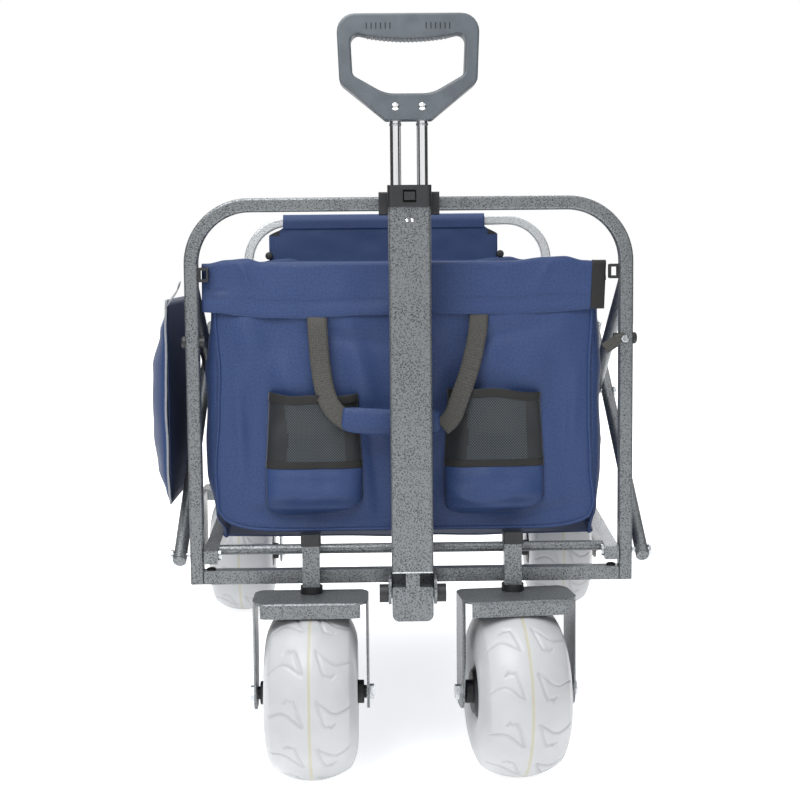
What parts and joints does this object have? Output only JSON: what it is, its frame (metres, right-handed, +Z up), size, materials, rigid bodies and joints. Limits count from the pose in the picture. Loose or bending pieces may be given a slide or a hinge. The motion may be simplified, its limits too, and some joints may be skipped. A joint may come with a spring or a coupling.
{
  "type": "folding beach cart",
  "caption": "Open folding beach wagon: cloth bag between two tube frames on side scissors, wide balloon wheels, swivelling front casters and a telescopic pull mast.",
  "frame": {"origin": "on the ground under the middle of the open cart", "axes": "+Z up, +X to the right seen from the front, +Y towards the rear frame; the pull mast is on the -Y side"},
  "size_m": [0.6846, 1.0534, 0.871],
  "materials": {
    "hammered_paint": "hammered silver-vein powder coat",
    "tyre_foam": "satin moulded polyurethane",
    "black_plastic": "matt moulded nylon",
    "grip_plastic": "fine-textured polypropylene",
    "chrome": "bright chrome plate",
    "zinc": "zinc plate",
    "navy_cloth": "coated oxford weave",
    "black_webbing": "woven polyester webbing"
  },
  "bodies": {
    "front_frame": {"front_hoop": "hammered_paint", "front_cross_tube": "hammered_paint", "caster_posts": "hammered_paint", "caster_post_caps": "black_plastic", "caster_bearings": "black_plastic", "mast_yoke": "hammered_paint", "mast_pivot_bolt": "black_plastic", "front_pivot_bolts": "zinc", "rim_brackets": "hammered_paint", "side_bolts": "zinc", "bag_front_wall": "navy_cloth", "bag_hem": "navy_cloth", "cup_pockets": "navy_cloth", "carry_strap": "black_webbing", "bag_body": "navy_cloth", "side_pouch": "navy_cloth"},
    "rear_frame": {"rear_hoop": "hammered_paint", "rear_cross_tube": "hammered_paint", "left_rear_fork": "hammered_paint", "right_rear_fork": "hammered_paint", "rear_axles": "zinc", "rear_pivot_lugs": "hammered_paint", "rear_rail_bolts": "zinc", "bag_rear_wall": "navy_cloth", "rear_flap": "navy_cloth"},
    "front_floor": {"front_floor_rails": "hammered_paint", "front_floor_bars": "hammered_paint"},
    "rear_floor": {"rear_floor_rails": "hammered_paint", "rear_floor_bars": "hammered_paint"},
    "mast": {"mast_tube": "hammered_paint", "mast_foot": "hammered_paint", "mast_collar": "black_plastic", "mast_clip": "black_plastic"},
    "button": {"release_button": "black_plastic"},
    "handle": {"handle_stays": "chrome", "handle_grip": "grip_plastic"},
    "left_front_lower": {"left_front_lower_arm": "hammered_paint", "left_front_rivets": "zinc"},
    "left_front_upper": {"left_front_upper_arm": "hammered_paint"},
    "left_rear_lower": {"left_rear_lower_arm": "hammered_paint"},
    "left_rear_upper": {"left_rear_upper_arm": "hammered_paint", "left_rear_rivets": "zinc"},
    "left_caster": {"left_caster_fork": "hammered_paint", "left_caster_axle": "zinc"},
    "front_left_wheel": {"front_left_tyre": "tyre_foam", "front_left_hub": "black_plastic"},
    "rear_left_wheel": {"rear_left_tyre": "tyre_foam", "rear_left_hub": "black_plastic"},
    "right_front_lower": {"right_front_lower_arm": "hammered_paint", "right_front_rivets": "zinc"},
    "right_front_upper": {"right_front_upper_arm": "hammered_paint"},
    "right_rear_lower": {"right_rear_lower_arm": "hammered_paint"},
    "right_rear_upper": {"right_rear_upper_arm": "hammered_paint", "right_rear_rivets": "zinc"},
    "right_caster": {"right_caster_fork": "hammered_paint", "right_caster_axle": "zinc"},
    "front_right_wheel": {"front_right_tyre": "tyre_foam", "front_right_hub": "black_plastic"},
    "rear_right_wheel": {"rear_right_tyre": "tyre_foam", "rear_right_hub": "black_plastic"}
  },
  "joints": [
    {"name": "fold", "type": "hinge", "parent": "front_frame", "child": "right_front_lower", "pos_m": [0.272, -0.38869, 0.256], "axis": [1, 0, 0], "range_deg": [0, 46], "deforming": ["bag_body", "side_pouch"]},
    {"name": "left_fold", "type": "hinge", "parent": "front_frame", "child": "left_front_lower", "pos_m": [-0.272, -0.38869, 0.256], "axis": [1, 0, 0], "range_deg": [0, 46]},
    {"name": "right_front_crossing", "type": "hinge", "parent": "right_front_lower", "child": "right_front_upper", "pos_m": [0.2545, -0.12495, 0.4208], "axis": [1, 0, 0], "range_deg": [-92, 0]},
    {"name": "right_middle_top", "type": "hinge", "parent": "right_front_lower", "child": "right_rear_lower", "pos_m": [0.2545, 0.0065, 0.50294], "axis": [1, 0, 0], "range_deg": [-92, 0]},
    {"name": "right_middle_foot", "type": "hinge", "parent": "right_front_upper", "child": "right_rear_upper", "pos_m": [0.272, 0.0065, 0.33867], "axis": [1, 0, 0], "range_deg": [0, 92]},
    {"name": "left_front_crossing", "type": "hinge", "parent": "left_front_lower", "child": "left_front_upper", "pos_m": [-0.2545, -0.12495, 0.4208], "axis": [1, 0, 0], "range_deg": [-92, 0]},
    {"name": "left_middle_top", "type": "hinge", "parent": "left_front_lower", "child": "left_rear_lower", "pos_m": [-0.2545, 0.0065, 0.50294], "axis": [1, 0, 0], "range_deg": [-92, 0]},
    {"name": "left_middle_foot", "type": "hinge", "parent": "left_front_upper", "child": "left_rear_upper", "pos_m": [-0.272, 0.0065, 0.33867], "axis": [1, 0, 0], "range_deg": [0, 92]},
    {"name": "rear_pivot", "type": "hinge", "parent": "right_rear_lower", "child": "rear_frame", "pos_m": [0.2545, 0.40169, 0.256], "axis": [1, 0, 0], "range_deg": [0, 46]},
    {"name": "front_floor_lift", "type": "hinge", "parent": "front_frame", "child": "front_floor", "pos_m": [0.2352, -0.38869, 0.256], "axis": [1, 0, 0], "range_deg": [0, 75]},
    {"name": "rear_floor_lift", "type": "hinge", "parent": "rear_frame", "child": "rear_floor", "pos_m": [0.2352, 0.42669, 0.256], "axis": [1, 0, 0], "range_deg": [-75, 0]},
    {"name": "mast_tilt", "type": "hinge", "parent": "front_frame", "child": "mast", "pos_m": [0, -0.43369, 0.2174], "axis": [1, 0, 0], "range_deg": [0, 100]},
    {"name": "handle_slide", "type": "slide", "parent": "mast", "child": "handle", "axis": [0, 0, 1], "range_m": [-0.065, 0.26]},
    {"name": "button_press", "type": "slide", "parent": "mast", "child": "button", "axis": [0, 1, 0], "range_m": [0, 0.003], "stiffness_N_per_m": 400, "springref_m": -0.001},
    {"name": "right_caster_swivel", "type": "hinge", "parent": "front_frame", "child": "right_caster", "pos_m": [0.1175, -0.40869, 0.2135], "axis": [0, 0, 1], "continuous": true},
    {"name": "front_right_spin", "type": "hinge", "parent": "right_caster", "child": "front_right_wheel", "pos_m": [0.11938, -0.42659, 0.1], "axis": [0.9945, 0.1045, 0], "continuous": true},
    {"name": "rear_right_spin", "type": "hinge", "parent": "rear_frame", "child": "rear_right_wheel", "pos_m": [0.2707, 0.42669, 0.1], "axis": [1, 0, 0], "continuous": true},
    {"name": "left_caster_swivel", "type": "hinge", "parent": "front_frame", "child": "left_caster", "pos_m": [-0.1175, -0.40869, 0.2135], "axis": [0, 0, 1], "continuous": true},
    {"name": "front_left_spin", "type": "hinge", "parent": "left_caster", "child": "front_left_wheel", "pos_m": [-0.1175, -0.42669, 0.1], "axis": [1, 0, 0], "continuous": true},
    {"name": "rear_left_spin", "type": "hinge", "parent": "rear_frame", "child": "rear_left_wheel", "pos_m": [-0.2707, 0.42669, 0.1], "axis": [1, 0, 0], "continuous": true}
  ],
  "couplings": [
    {"joint": "left_fold", "follows": "fold", "ratio": 1},
    {"joint": "right_front_crossing", "follows": "fold", "ratio": -2},
    {"joint": "right_middle_top", "follows": "fold", "ratio": -2},
    {"joint": "right_middle_foot", "follows": "fold", "ratio": 2},
    {"joint": "left_front_crossing", "follows": "fold", "ratio": -2},
    {"joint": "left_middle_top", "follows": "fold", "ratio": -2},
    {"joint": "left_middle_foot", "follows": "fold", "ratio": 2},
    {"joint": "rear_pivot", "follows": "fold", "ratio": 1},
    {"joint": "front_floor_lift", "follows": "fold", "ratio": 1.6304},
    {"joint": "rear_floor_lift", "follows": "fold", "ratio": -1.6304}
  ]
}
